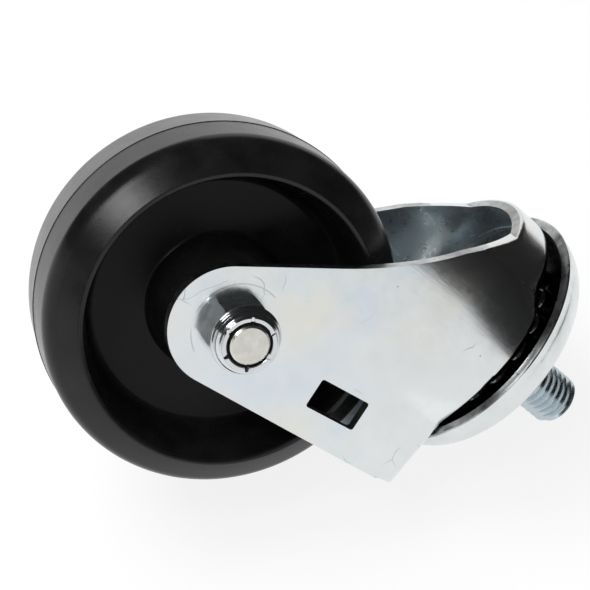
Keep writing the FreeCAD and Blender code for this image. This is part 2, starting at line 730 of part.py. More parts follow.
pieces = [make_stem(), make_cap(), make_cup(), make_fork(), make_bolt(), make_nut(), make_insert(),
          make_sleeve(), make_wheel()]
pieces += make_balls("upper_ball", "Sizes.ball_count", "Sizes.ball_dia", "Sizes.race_radius", ball_level)
pieces += make_balls("lower_ball", "Sizes.low_ball_count", "Sizes.low_ball_dia", low_radius, low_level)
doc.recompute()


# Checks, then one file for each piece

for item in doc.Objects:
    if "Invalid" in item.State or "Error" in item.State:
        raise RuntimeError("%s failed: %s" % (item.Label, item.State))
for piece in pieces:
    shape = piece.Shape
    if shape.isNull() or not shape.isValid() or len(shape.Solids) != 1:
        raise RuntimeError("%s has no single valid solid" % piece.Label)

os.makedirs("parts", exist_ok=True)
for piece in pieces:
    piece.Shape.exportStep("parts/%s.step" % piece.Label)
    print(piece.Label, round(piece.Shape.Volume, 1))
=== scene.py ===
import math

import bpy
from mathutils import Matrix, Vector


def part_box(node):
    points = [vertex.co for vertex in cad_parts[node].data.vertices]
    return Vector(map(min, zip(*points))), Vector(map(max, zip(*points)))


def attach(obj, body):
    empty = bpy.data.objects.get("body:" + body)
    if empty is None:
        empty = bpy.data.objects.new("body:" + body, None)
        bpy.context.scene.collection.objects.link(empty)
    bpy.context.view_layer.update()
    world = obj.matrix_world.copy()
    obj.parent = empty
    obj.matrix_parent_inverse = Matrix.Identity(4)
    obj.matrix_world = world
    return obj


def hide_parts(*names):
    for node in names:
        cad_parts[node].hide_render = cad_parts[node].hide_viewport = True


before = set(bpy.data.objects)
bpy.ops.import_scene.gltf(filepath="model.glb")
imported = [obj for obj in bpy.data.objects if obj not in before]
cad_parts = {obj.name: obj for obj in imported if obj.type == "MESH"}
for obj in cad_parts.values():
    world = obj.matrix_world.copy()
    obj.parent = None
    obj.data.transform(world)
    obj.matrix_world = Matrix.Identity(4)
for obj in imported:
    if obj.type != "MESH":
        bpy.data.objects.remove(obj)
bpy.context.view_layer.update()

MM = 0.001


# Studio
# The castor was photographed lying on white, from its near side and a little from below, in soft
# daylight from behind and above the camera, with a dark room to the right and round the camera.
# The lamps and the dark cards were placed by trial, for the reflections in the photograph.

camera_place = Vector((-3.57, -276.7, -181.68)) * MM
sight = Vector((0.06841, 0.89606, 0.43862)).normalized()
picture_up = Vector((-0.76716, 0.32832, -0.55107))
picture_right = sight.cross(picture_up).normalized()
picture_up = picture_right.cross(sight).normalized()
focal_length = 89.05
picture_side = 590
picture_rise = -1

camera = bpy.data.objects.new("camera", bpy.data.cameras.new("camera"))
bpy.context.scene.collection.objects.link(camera)
bpy.context.scene.camera = camera
turn = Matrix((picture_right, picture_up, -sight)).transposed()
camera.matrix_world = Matrix.Translation(camera_place) @ turn.to_4x4()
camera.data.lens = focal_length
camera.data.sensor_width = 36
camera.data.shift_y = picture_rise / picture_side
camera.data.clip_start = 0.01
camera.data.clip_end = 10

bpy.context.scene.view_settings.view_transform = "Standard"


def new_material(name):
    """A material with its shader and its output, and nothing else."""
    material = bpy.data.materials.new(name)
    material.use_nodes = True
    return material, material.node_tree, material.node_tree.nodes["Principled BSDF"]


def add_node(tree, kind, settings=None, **sockets):
    """A node with its settings. A socket, named or numbered (n0), gets a value or another node's output."""
    node = tree.nodes.new(kind)
    for name, value in (settings or {}).items():
        setattr(node, name, value)
    for name, value in sockets.items():
        numbered = name.startswith("n") and name[1:].isdigit()
        socket = node.inputs[int(name[1:]) if numbered else name.replace("_", " ")]
        if isinstance(value, bpy.types.NodeSocket):
            tree.links.new(value, socket)
        else:
            socket.default_value = value
    return node


floor_lift = 0.0005
floor_side = 1.6
floor_look_down = math.radians(50)
floor_up = picture_up * math.cos(floor_look_down) - sight * math.sin(floor_look_down)
stem_length = 23.7
stem_radius = 6.0
stem_side = Vector((floor_up.x, floor_up.y, 0)).normalized()
stem_tip = (Vector((0, 0, stem_length)) - stem_side * stem_radius) * MM
bpy.ops.object.select_all(action="DESELECT")
bpy.ops.mesh.primitive_plane_add(size=floor_side)
floor = bpy.context.object
floor.name = "floor"
floor.rotation_mode = "QUATERNION"
floor.rotation_quaternion = floor_up.to_track_quat("Z", "Y")
floor.location = stem_tip - floor_up * floor_lift

floor_paint, tree, shader = new_material("floor_paint")
shader.inputs["Base Color"].default_value = (0.9, 0.9, 0.9, 1)
shader.inputs["Roughness"].default_value = 0.9
shader.inputs["Specular IOR Level"].default_value = 0
path = add_node(tree, "ShaderNodeLightPath")
seen = add_node(tree, "ShaderNodeMath", {"operation": "MAXIMUM"}, n0=path.outputs["Is Camera Ray"],
                n1=path.outputs["Is Glossy Ray"])
seen = add_node(tree, "ShaderNodeMath", {"operation": "MAXIMUM"}, n0=seen.outputs[0],
                n1=path.outputs["Is Transmission Ray"])
share = add_node(tree, "ShaderNodeMath", {"operation": "MULTIPLY"}, n0=seen.outputs[0], n1=0.86)
glow = add_node(tree, "ShaderNodeEmission", Color=(1, 1, 1, 1), Strength=0.97)
mixed = add_node(tree, "ShaderNodeMixShader", n0=share.outputs[0], n1=shader.outputs[0], n2=glow.outputs[0])
behind = add_node(tree, "ShaderNodeNewGeometry")
clear = add_node(tree, "ShaderNodeBsdfTransparent")
one_sided = add_node(tree, "ShaderNodeMixShader", n0=behind.outputs["Backfacing"], n1=mixed.outputs[0],
                     n2=clear.outputs[0])
tree.links.new(one_sided.outputs[0], tree.nodes["Material Output"].inputs["Surface"])
floor.data.materials.append(floor_paint)

world = bpy.data.worlds.new("white_room")
bpy.context.scene.world = world
world.use_nodes = True
tree = world.node_tree
path = add_node(tree, "ShaderNodeLightPath")
seen = add_node(tree, "ShaderNodeMath", {"operation": "MAXIMUM"}, n0=path.outputs["Is Camera Ray"],
                n1=path.outputs["Is Transmission Ray"])
glossy = add_node(tree, "ShaderNodeMath", {"operation": "MULTIPLY"}, n0=path.outputs["Is Glossy Ray"], n1=0.9)
seen = add_node(tree, "ShaderNodeMath", {"operation": "MAXIMUM"}, n0=seen.outputs[0], n1=glossy.outputs[0])
level = add_node(tree, "ShaderNodeMath", {"operation": "MAXIMUM"}, n0=seen.outputs[0], n1=0.55)
tree.links.new(level.outputs[0], tree.nodes["Background"].inputs["Strength"])
tree.nodes["Background"].inputs["Color"].default_value = (1, 1, 1, 1)

castor_middle = Vector((8, 0, -40)) * MM


def add_lamp(name, toward, distance, side, power, mirrored=False):
    """A square soft box that hangs in the stated direction from the castor, which metal can mirror or not."""
    lamp = bpy.data.objects.new(name, bpy.data.lights.new(name, "AREA"))
    bpy.context.scene.collection.objects.link(lamp)
    lamp.data.size = side
    lamp.data.energy = power
    lamp.rotation_mode = "QUATERNION"
    lamp.rotation_quaternion = toward.to_track_quat("Z", "Y")
    lamp.location = castor_middle + toward.normalized() * distance
    lamp.visible_glossy = mirrored


add_lamp("key_lamp", picture_up * 0.8 - picture_right * 0.5 - sight * 0.6, 0.9, 0.5, 7)
add_lamp("side_lamp", Vector((-0.05, -0.59, -0.80)), 0.4, 0.12, 0.45, mirrored=True)


def add_card(name, first, second, third, tone):
    """A flat board drawn from three corners, which the camera doesn't see but the metal mirrors."""
    first, across, along = Vector(first), Vector(second) - Vector(first), Vector(third) - Vector(first)
    bpy.ops.object.select_all(action="DESELECT")
    bpy.ops.mesh.primitive_plane_add(size=1)
    card = bpy.context.object
    card.name = name
    for vertex in card.data.vertices:
        vertex.co = first + across * (vertex.co.x + 0.5) + along * (vertex.co.y + 0.5)
    card.visible_camera = False
    card.visible_shadow = False
    card.visible_diffuse = False
    paint, tree, shader = new_material(name)
    shader.inputs["Base Color"].default_value = (tone, tone, tone, 1)
    shader.inputs["Roughness"].default_value = 0.9
    shader.inputs["Specular IOR Level"].default_value = 0
    card.data.materials.append(paint)


add_card("dark_room", (-0.40, -0.45, -0.7), (-0.40, 0.22, -0.7), (-0.40, -0.45, 0.6), 0.02)
add_card("dark_corner", (-0.42, -0.45, -0.7), (-0.035, -0.45, -0.7), (-0.42, -0.45, 0.6), 0.02)
add_card("dark_behind_camera", (-0.1, -0.46, -0.7), (0.55, -0.46, -0.7), (-0.1, -0.46, -0.18), 0.08)
add_card("dark_below", (-0.5, -0.5, -0.42), (0.22, -0.5, -0.42), (-0.5, 0.50, -0.42), 0.03)


# Threaded stem
# A screw with a rolled metric thread, a collar that bears under the cap, and a king pin whose end is
# formed over to a round head. It is one turned steel piece, zinc plated with a blue tint.

pitch = 1.75
thread_depth = 1.0
stem_chamfer = 1.2
fine_steps = 64


def draw_line(name, corners, origin=(0, 0, 0), along=(0, 0, 1), out=(1, 0, 0)):
    """A chain of edges through the corners, each (radius, distance along the axis) in millimetres."""
    origin, along, out = Vector(origin), Vector(along), Vector(out)
    places = [origin + (along * level + out * radius) * MM for radius, level in corners]
    bpy.ops.object.select_all(action="DESELECT")
    bpy.ops.mesh.primitive_plane_add(size=MM)
    piece = bpy.context.object
    piece.name = name
    piece.data.name = name
    bpy.ops.object.mode_set(mode="EDIT")
    bpy.ops.mesh.select_mode(type="VERT")
    bpy.ops.mesh.merge(type="CENTER")
    bpy.ops.transform.translate(value=places[0])
    for last, place in zip(places, places[1:]):
        bpy.ops.mesh.extrude_region_move(TRANSFORM_OT_translate={"value": place - last})
    bpy.ops.object.mode_set(mode="OBJECT")
    return piece


def rounded(corners):
    """The corners of an outline, where a third number rounds a corner to that radius."""
    line = []
    for place, corner in enumerate(corners):
        point = Vector(corner[:2])
        if len(corner) == 2:
            line.append(tuple(point))
            continue
        before = (Vector(corners[place - 1][:2]) - point).normalized()
        after = (Vector(corners[(place + 1) % len(corners)][:2]) - point).normalized()
        half = before.angle(after) / 2
        middle = point + (before + after).normalized() * corner[2] / math.sin(half)
        start = point + before * corner[2] / math.tan(half) - middle
        sweep = math.pi - 2 * half
        side = 1 if before.x * after.y - before.y * after.x < 0 else -1
        steps = max(2, round(sweep / math.radians(18)))
        for step in range(steps + 1):
            angle = side * sweep * step / steps
            turned = Vector((start.x * math.cos(angle) - start.y * math.sin(angle),
                             start.x * math.sin(angle) + start.y * math.cos(angle)))
            line.append(tuple(middle + turned))
    return line


def turn_piece(name, corners, steps=fine_steps, closed=True, origin=(0, 0, 0), along=(0, 0, 1), out=(1, 0, 0)):
    """A turned or moulded round piece: its half outline is drawn and spun once about the axis."""
    line = rounded(corners)
    if closed:
        line.append(line[0])
    piece = draw_line(name, line, origin, along, out)
    bpy.ops.object.mode_set(mode="EDIT")
    bpy.ops.mesh.select_all(action="SELECT")
    bpy.ops.mesh.spin(steps=steps, angle=math.tau, center=origin, axis=along)
    bpy.ops.mesh.select_all(action="SELECT")
    bpy.ops.mesh.remove_doubles(threshold=0.002 * MM)
    bpy.ops.mesh.normals_make_consistent(inside=False)
    bpy.ops.object.mode_set(mode="OBJECT")
    return piece


def select_only(*pieces):
    bpy.ops.object.select_all(action="DESELECT")
    for piece in pieces:
        piece.select_set(True)
    bpy.context.view_layer.objects.active = pieces[0]


def smooth(piece, angle=30):
    select_only(piece)
    bpy.ops.object.shade_smooth_by_angle(angle=math.radians(angle))


def join(*pieces):
    select_only(*pieces)
    bpy.ops.object.join()
    return pieces[0]


def apply_modifiers(piece):
    select_only(piece)
    for modifier in list(piece.modifiers):
        bpy.ops.object.modifier_apply(modifier=modifier.name)


thread_root = stem_radius - thread_depth
thread_turn = [(thread_root, 0), (thread_root, 0.1 * pitch), (stem_radius - 0.07, 0.42 * pitch),
               (stem_radius, 0.47 * pitch), (stem_radius, 0.53 * pitch), (stem_radius - 0.07, 0.58 * pitch),
               (thread_root, 0.9 * pitch), (thread_root, pitch)]
thread = draw_line("threaded_shank", [(radius, level - pitch) for radius, level in thread_turn])
winding = thread.modifiers.new("winding", "SCREW")
winding.axis = "Z"
winding.steps = winding.render_steps = fine_steps
winding.screw_offset = pitch * MM
winding.iterations = math.ceil(stem_length / pitch) + 2
winding.use_merge_vertices = True
winding.merge_threshold = 0.001 * MM
apply_modifiers(thread)
for vertex in thread.data.vertices:
    reach = math.hypot(vertex.co.x, vertex.co.y)
    limit = stem_radius * MM - max(0, vertex.co.z - (stem_length - stem_chamfer) * MM)
    if 0 < limit < reach:
        vertex.co.x *= limit / reach
        vertex.co.y *= limit / reach
bpy.ops.object.mode_set(mode="EDIT")
for level, way in ((stem_length, 1), (0.05, -1)):
    bpy.ops.mesh.select_all(action="SELECT")
    bpy.ops.mesh.bisect(plane_co=(0, 0, level * MM), plane_no=(0, 0, way), clear_outer=True, use_fill=True,
                        threshold=0.001 * MM)
bpy.ops.mesh.select_all(action="SELECT")
bpy.ops.mesh.remove_doubles(threshold=0.002 * MM)
bpy.ops.mesh.normals_make_consistent(inside=False)
bpy.ops.object.mode_set(mode="OBJECT")

cap_sheet = 2.4
neck_radius = 6.3
collar_radius = 8.4
collar_height = 2.0
pin_radius = 4.7
rivet_radius = 7.7
rivet_height = 3.0
cup_foot = 14.4
king_pin = turn_piece("king_pin", [
    (0, 0.1), (stem_radius - 0.6, 0.1), (neck_radius, -0.1), (neck_radius, -cap_sheet), (collar_radius, -cap_sheet),
    (collar_radius, -cap_sheet - collar_height, 0.3), (pin_radius, -cap_sheet - collar_height),
    (pin_radius, -cup_foot), (rivet_radius, -cup_foot, 0.3), (rivet_radius - 1.2, -cup_foot - 1.4, 1.5),
    (3.6, -cup_foot - rivet_height + 0.1, 3), (0, -cup_foot - rivet_height)], closed=False)
stem = join(thread, king_pin)
stem.name = "stem"
smooth(stem)


def plate_zinc(name, colour, dull, rough, stain=0.12, scratch=0.3, drift=0.3):
    """Zinc plating: bright metal whose polish and tint drift a little, with fine handling scratches."""
    material, tree, shader = new_material(name)
    shader.inputs["Metallic"].default_value = 1
    place = add_node(tree, "ShaderNodeTexCoord").outputs["Object"]
    cloud = add_node(tree, "ShaderNodeTexNoise", Vector=place, Scale=130.0, Detail=5.0, Roughness=0.55)
    tint = add_node(tree, "ShaderNodeMapRange", Value=cloud.outputs["Fac"], From_Min=0.35, From_Max=0.7,
                    To_Min=0.0, To_Max=stain)
    colour_mix = add_node(tree, "ShaderNodeMix", {"data_type": "RGBA"}, n0=tint.outputs[0],
                          n6=(*colour, 1), n7=(*dull, 1))
    tree.links.new(colour_mix.outputs[2], shader.inputs["Base Color"])
    speck = add_node(tree, "ShaderNodeTexNoise", Vector=place, Scale=700.0, Detail=3.0, Roughness=0.6)
    polish = add_node(tree, "ShaderNodeMapRange", Value=speck.outputs["Fac"], From_Min=0.3, From_Max=0.7,
                      To_Min=rough * (1 - drift), To_Max=rough * (1 + drift))
    tree.links.new(polish.outputs[0], shader.inputs["Roughness"])
    streak_place = add_node(tree, "ShaderNodeMapping", Vector=place, Rotation=(0.4, 0.3, 0.6),
                            Scale=(2600.0, 180.0, 260.0))
    streak = add_node(tree, "ShaderNodeTexNoise", Vector=streak_place.outputs[0], Scale=1.0, Detail=2.0)
    ripple = add_node(tree, "ShaderNodeTexNoise", Vector=place, Scale=90.0, Detail=2.0)
    height = add_node(tree, "ShaderNodeMath", {"operation": "MULTIPLY_ADD"}, n0=ripple.outputs["Fac"], n1=3.0,
                      n2=streak.outputs["Fac"])
    bump = add_node(tree, "ShaderNodeBump", Strength=scratch, Distance=0.00002, Height=height.outputs[0])
    tree.links.new(bump.outputs[0], shader.inputs["Normal"])
    return material


stem_zinc = plate_zinc("stem_zinc", (0.60, 0.68, 0.72), (0.42, 0.50, 0.55), 0.24, 0.5)
stem.data.materials.clear()
stem.data.materials.append(stem_zinc)
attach(stem, "mount")
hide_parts("threaded_stem")


# Cap
# A shallow round pressing of plated steel. Its skirt hides the upper balls, and its sheared rim is
# smooth on the outside and torn on the inside, where the sheet broke.

cap_flat = 20.7
cap_shoulder = 8.1
cap_flare = 0.9
rim_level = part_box("top_cap")[0].z / MM
skirt = cap_flat + cap_shoulder
rim_reach = skirt + cap_flare


def quarter(middle_radius, middle_level, radius, steps, first, last):
    """Points of an arc in an outline, between two angles in degrees."""
    angles = [math.radians(first + (last - first) * step / steps) for step in range(steps + 1)]
    return [(middle_radius + radius * math.cos(a), middle_level + radius * math.sin(a)) for a in angles]


cap = turn_piece("cap", [
    (neck_radius - 0.05, 0), *quarter(cap_flat, -cap_shoulder, cap_shoulder, 12, 90, 0),
    (rim_reach, rim_level, 0.5), (rim_reach - cap_sheet, rim_level, 0.15),
    *quarter(cap_flat, -cap_shoulder, cap_shoulder - cap_sheet, 10, 0, 90),
    (neck_radius - 0.05, -cap_sheet)], steps=160)
smooth(cap)
cap_zinc = plate_zinc("cap_zinc", (0.76, 0.79, 0.80), (0.60, 0.63, 0.63), 0.2, 0.5)
# The inside of the cap is painted shade: a near-black zinc, standing in for the shade in the gap over the upper
# balls.
grease = plate_zinc("race_grease", (0.05, 0.05, 0.048), (0.02, 0.02, 0.02), 0.3, 0.8)
cap.data.materials.clear()
cap.data.materials.append(cap_zinc)
cap.data.materials.append(grease)
cap.data.materials.append(plate_zinc("sheared_rim", (0.75, 0.76, 0.76), (0.12, 0.12, 0.12), 0.35, 1.0, 1.0))
# Faces inside the cap take the painted shade, and the rim's sheared face takes the sheared finish.
for face in cap.data.polygons:
    reach = math.hypot(face.center.x, face.center.y) / MM
    outward = face.normal.x * face.center.x + face.normal.y * face.center.y
    inside = face.normal.z < -0.2 and face.center.z / MM > rim_level + 0.1
    face.material_index = 1 if inside or (outward < 0 and reach > neck_radius + 1) else 0
    if face.center.z / MM < rim_level + 0.5 and face.normal.z < -0.3:
        face.material_index = 2
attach(cap, "mount")
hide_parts("top_cap")


# Races and balls
# Polished steel balls run between the cap and the fork, and a second ring of smaller balls
# between the fork and a pressed cup under it. Their colour is set darker than steel's by trial, for
# the photograph's tones: painted shade, for the shade in the gaps round the races.

cup_zinc = plate_zinc("cup_zinc", (0.60, 0.62, 0.62), (0.35, 0.35, 0.34), 0.35, 0.6)
# The balls' dark colour is painted shade, for the shade between the cap, the fork and the cup.
ball_steel = plate_zinc("ball_steel", (0.20, 0.20, 0.20), (0.10, 0.10, 0.10), 0.1, 0.5, 0.05)
for name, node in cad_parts.items():
    if "ball" in name:
        node.data.materials.clear()
        node.data.materials.append(ball_steel)
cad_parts["lower_race_cup"].data.materials.clear()
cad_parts["lower_race_cup"].data.materials.append(cup_zinc)


# Fork
# One heavy pressing of plated steel: a hood with a rounded back, and two legs. The punch has
# rolled the outer edge of the blank all round, and left a sheared band inside it.

outer_half = 19.4
inner_half = 16.9
back_centre = -(27.3 - outer_half)
sheet = 2.5
die_roll = 0.7
axle_x, axle_z = 28.5, -60.15
slot_x, slot_z = 28.7, -32.1
hole_zone = 5
slot_zone_x, slot_zone_z = 5.5, 8
fork = bpy.data.objects.new("fork_pressing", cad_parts["fork"].data.copy())
bpy.context.scene.collection.objects.link(fork)
select_only(fork)
bpy.ops.mesh.customdata_custom_splitnormals_clear()
bpy.ops.object.mode_set(mode="EDIT")
bpy.ops.mesh.select_all(action="SELECT")
bpy.ops.mesh.remove_doubles(threshold=0.001 * MM)
bpy.ops.mesh.dissolve_limited(angle_limit=math.radians(0.5))
bpy.ops.mesh.select_mode(type="EDGE")
bpy.ops.mesh.select_all(action="DESELECT")
bpy.ops.mesh.edges_select_sharp(sharpness=math.radians(40))
bpy.ops.object.mode_set(mode="OBJECT")


def on_outside(point):
    """Whether a point lies on the outer face of the legs or of the round back."""
    x, y = point.x / MM, abs(point.y / MM)
    reach = y if x > back_centre else math.hypot(x - back_centre, y)
    return abs(reach - outer_half) < 0.02


for edge in fork.data.edges:
    ends = [fork.data.vertices[index].co for index in edge.vertices]
    middle = (ends[0] + ends[1]) / 2
    hole = math.hypot(middle.x / MM - axle_x, middle.z / MM - axle_z) < hole_zone
    slot = abs(middle.x / MM - slot_x) < slot_zone_x and abs(middle.z / MM - slot_z) < slot_zone_z
    edge.select = edge.select and all(on_outside(end) for end in ends) and not hole and not slot
bpy.ops.object.mode_set(mode="EDIT")
bpy.ops.mesh.bevel(offset=die_roll * MM, offset_type="OFFSET", segments=4, profile=0.5, affect="EDGES",
                   clamp_overlap=False)

# The walls curve in gently before they meet the round back, and spread to a round lip under the cap.
# The lip's depth, taper and stretch and the crown's shift to the front were set by trial against the
# photograph, and aren't measured. The CAD's fork has neither, so this one is wider under the cap.
# Known fault: at lip_back the lip is cut off while it still stands about 0.6 mm proud of the wall,
# which shows from behind as a short dark step on each side.
crown_level = -9.9
crown_middle, crown_round = 59.0, 29.5
crown_ahead = 4.6
ahead_half, ahead_fade = 16.2, 4
bend_radius = 3.45
ease_start, ease_end = -2.0, -11.8
ease_round, back_round, back_middle = 55.5, 18.8, -8.5
lip_reach = 23.8
lip_stretch = 1.35
lip_edge = 0.6
lip_foot = -25.0
lip_power = 1.3
lip_back = -15
edge_start, edge_run = -11, 4
skin = 0.9
for step in range(54):
    bpy.ops.mesh.select_all(action="SELECT")
    bpy.ops.mesh.bisect(plane_co=((38 - 1.2 * step) * MM, 0, 0), plane_no=(1, 0, 0), threshold=0.001 * MM)
for level in (-10.0, -10.15, -10.4, -10.7, *(-11.0 - step for step in range(16))):
    bpy.ops.mesh.select_all(action="SELECT")
    bpy.ops.mesh.bisect(plane_co=(0, 0, level * MM), plane_no=(0, 0, 1), threshold=0.001 * MM)
bpy.ops.object.mode_set(mode="OBJECT")
for vertex in fork.data.vertices:
    x, y, z = vertex.co / MM
    plain = outer_half if x > back_centre else math.sqrt(max(outer_half ** 2 - (x - back_centre) ** 2, 0))
    if z > crown_level - 0.001 or plain < 1:
        continue
    eased = plain
    if ease_end < x < ease_start:
        eased = outer_half - ease_round + math.sqrt(ease_round ** 2 - (x - ease_start) ** 2)
    elif x <= ease_end:
        eased = math.sqrt(max(back_round ** 2 - (x - back_middle) ** 2, 0))
    drop = crown_level - z
    bent = bend_radius - math.sqrt(max(bend_radius ** 2 - max(bend_radius - drop, 0) ** 2, 0))
    on_outer = plain - abs(y) < bent + skin and drop > 0.05
    y *= 1 + (eased / plain - 1) * min(1, drop / bend_radius)
    if on_outer and x > lip_back:
        spread = 0
        lip_x = x / lip_stretch if x > 0 else x
        if abs(lip_x) < lip_reach and z > lip_foot:
            spread = max(0, math.sqrt(lip_reach ** 2 - lip_x * lip_x) - eased)
            spread *= min(1, (z - lip_foot) / (crown_level - lip_edge - lip_foot)) ** lip_power
        edge = lip_edge + (bend_radius - lip_edge) * min(1, max(0, (edge_start - x) / edge_run))
        corner = edge - math.sqrt(max(edge ** 2 - max(edge - drop, 0) ** 2, 0))
        y = math.copysign(eased + spread - corner, y)
    vertex.co.y = y * MM
for vertex in fork.data.vertices:
    x, y, z = vertex.co / MM
    if z > crown_level - sheet - 0.05 and abs(math.hypot(x - crown_middle, y) - crown_round) < 0.05:
        vertex.co.x += crown_ahead * MM * min(1, max(0, (ahead_half - abs(y)) / ahead_fade))
smooth(fork, 35)
fork_inside = plate_zinc("fork_inside", (0.70, 0.76, 0.79), (0.62, 0.70, 0.73), 0.3, 0.6, 0.1, drift=0.15)
fork_edge = plate_zinc("fork_edge", (0.66, 0.68, 0.68), (0.25, 0.25, 0.25), 0.34, 0.9, 0.9)

# The legs' outer faces have stains, a few hairline scratches, and a ring where the nut's washer face rubbed
fork_zinc = plate_zinc("fork_zinc", (0.80, 0.83, 0.84), (0.73, 0.76, 0.77), 0.2, 0.6, 0.3, drift=0.12)
tree, shader = fork_zinc.node_tree, fork_zinc.node_tree.nodes["Principled BSDF"]
place = add_node(tree, "ShaderNodeTexCoord").outputs["Object"]
plain_colour = shader.inputs["Base Color"].links[0].from_socket
stains = ((38.0, 0.0, (0.55, 0.72, 0.90), 0.55), (45.0, 5.0, (0.86, 0.80, 0.62), 0.4))
for scale, shift, colour, strength in stains:
    moved = add_node(tree, "ShaderNodeMapping", Vector=place, Location=(shift, shift, shift))
    patch = add_node(tree, "ShaderNodeTexNoise", Vector=moved.outputs[0], Scale=scale, Detail=3.0)
    share = add_node(tree, "ShaderNodeMapRange", Value=patch.outputs["Fac"], From_Min=0.5, From_Max=0.72,
                     To_Min=0.0, To_Max=strength)
    tinted = add_node(tree, "ShaderNodeMix", {"data_type": "RGBA"}, n0=share.outputs[0], n6=plain_colour,
                      n7=(*colour, 1))
    plain_colour = tinted.outputs[2]
bent_place = add_node(tree, "ShaderNodeTexNoise", Vector=place, Scale=120.0, Detail=1.0)
pushed = add_node(tree, "ShaderNodeMix", {"data_type": "RGBA", "blend_type": "ADD"}, n0=0.006, n6=place,
                  n7=bent_place.outputs["Color"])
cells = add_node(tree, "ShaderNodeTexVoronoi", {"feature": "DISTANCE_TO_EDGE"}, Vector=pushed.outputs[2], Scale=105.0)
line = add_node(tree, "ShaderNodeMapRange", Value=cells.outputs["Distance"], From_Min=0.0, From_Max=0.01,
                To_Min=1.0, To_Max=0.0)
where = add_node(tree, "ShaderNodeTexNoise", Vector=place, Scale=75.0, Detail=2.0)
worn = add_node(tree, "ShaderNodeMapRange", Value=where.outputs["Fac"], From_Min=0.58, From_Max=0.64,
                To_Min=0.0, To_Max=0.6)
hairline = add_node(tree, "ShaderNodeMath", {"operation": "MULTIPLY"}, n0=line.outputs[0], n1=worn.outputs[0])
pits = add_node(tree, "ShaderNodeTexVoronoi", Vector=place, Scale=330.0)
pit = add_node(tree, "ShaderNodeMapRange", Value=pits.outputs["Distance"], From_Min=0.03, From_Max=0.07,
               To_Min=0.8, To_Max=0.0)
rare = add_node(tree, "ShaderNodeTexNoise", Vector=place, Scale=210.0, Detail=1.0)
rare = add_node(tree, "ShaderNodeMapRange", Value=rare.outputs["Fac"], From_Min=0.6, From_Max=0.64,
                To_Min=0.0, To_Max=1.0)
pit = add_node(tree, "ShaderNodeMath", {"operation": "MULTIPLY"}, n0=pit.outputs[0], n1=rare.outputs[0])
flat = add_node(tree, "ShaderNodeMapping", Vector=place, Location=(-axle_x * MM, 0, -axle_z * MM), Scale=(1, 0, 1))
reach = add_node(tree, "ShaderNodeVectorMath", {"operation": "LENGTH"}, n0=flat.outputs[0])
off_ring = add_node(tree, "ShaderNodeMath", {"operation": "SUBTRACT"}, n0=reach.outputs["Value"], n1=0.0096)
off_ring = add_node(tree, "ShaderNodeMath", {"operation": "ABSOLUTE"}, n0=off_ring.outputs[0])
ring = add_node(tree, "ShaderNodeMapRange", Value=off_ring.outputs[0], From_Min=0.0, From_Max=0.00022,
                To_Min=0.5, To_Max=0.0)
rubbed = add_node(tree, "ShaderNodeMapRange", Value=where.outputs["Fac"], From_Min=0.5, From_Max=0.56,
                  To_Min=0.0, To_Max=1.0)
ring = add_node(tree, "ShaderNodeMath", {"operation": "MULTIPLY"}, n0=ring.outputs[0], n1=rubbed.outputs[0])
mark = add_node(tree, "ShaderNodeMath", {"operation": "MAXIMUM"}, n0=hairline.outputs[0], n1=pit.outputs[0])
mark = add_node(tree, "ShaderNodeMath", {"operation": "MAXIMUM"}, n0=mark.outputs[0], n1=ring.outputs[0])
marked = add_node(tree, "ShaderNodeMix", {"data_type": "RGBA"}, n0=mark.outputs[0], n6=plain_colour,
                  n7=(0.25, 0.25, 0.24, 1))
tree.links.new(marked.outputs[2], shader.inputs["Base Color"])
fork.data.materials.clear()
for finish in (fork_zinc, fork_inside, fork_edge):
    fork.data.materials.append(finish)
for face in fork.data.polygons:
    x, y, z = face.center / MM
    plan = abs(y) if x > back_centre else math.hypot(x - back_centre, y)
    along = Vector((0, math.copysign(1, y), 0)) if x > back_centre else Vector((x - back_centre, y, 0)).normalized()
    facing = face.normal.dot(along)
    if z < crown_level - bend_radius and abs(facing) < 0.35 and inner_half - 0.7 < plan < outer_half + 0.1:
        face.material_index = 2
    elif facing < -0.35 or (face.normal.z < -0.35 and plan < inner_half + 0.3):
        face.material_index = 1
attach(fork, "fork")
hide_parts("fork")


# Axle bolt and sleeve
# A hexagon-headed bolt of plated steel through both legs, with a plain drawn tube over it that
# keeps the legs apart and that the wheel turns on.

bolt_zinc = plate_zinc("bolt_zinc", (0.78, 0.77, 0.72), (0.66, 0.65, 0.60), 0.3, 0.6)
sleeve_steel = plate_zinc("sleeve_steel", (0.58, 0.59, 0.59), (0.45, 0.45, 0.44), 0.3, 0.5)
for name, finish in (("axle_bolt", bolt_zinc), ("axle_sleeve", sleeve_steel)):
    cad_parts[name].data.materials.clear()
    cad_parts[name].data.materials.append(finish)


# Lock nut
# A plated hexagon nut with a stepped collar rolled over its dark nylon ring, and six small
# nicks in the collar's lip where the rolling tool gripped it.

axle_place = Vector((axle_x, 0, axle_z)) * MM
hex_flats = 13.0
nut_foot = outer_half
nut_face = nut_foot + 5.7
collar_top = nut_face + 2.6
nut_turn = math.radians(14)
corner_reach = hex_flats / 2 / math.cos(math.radians(30))
bolt_radius = 4.0

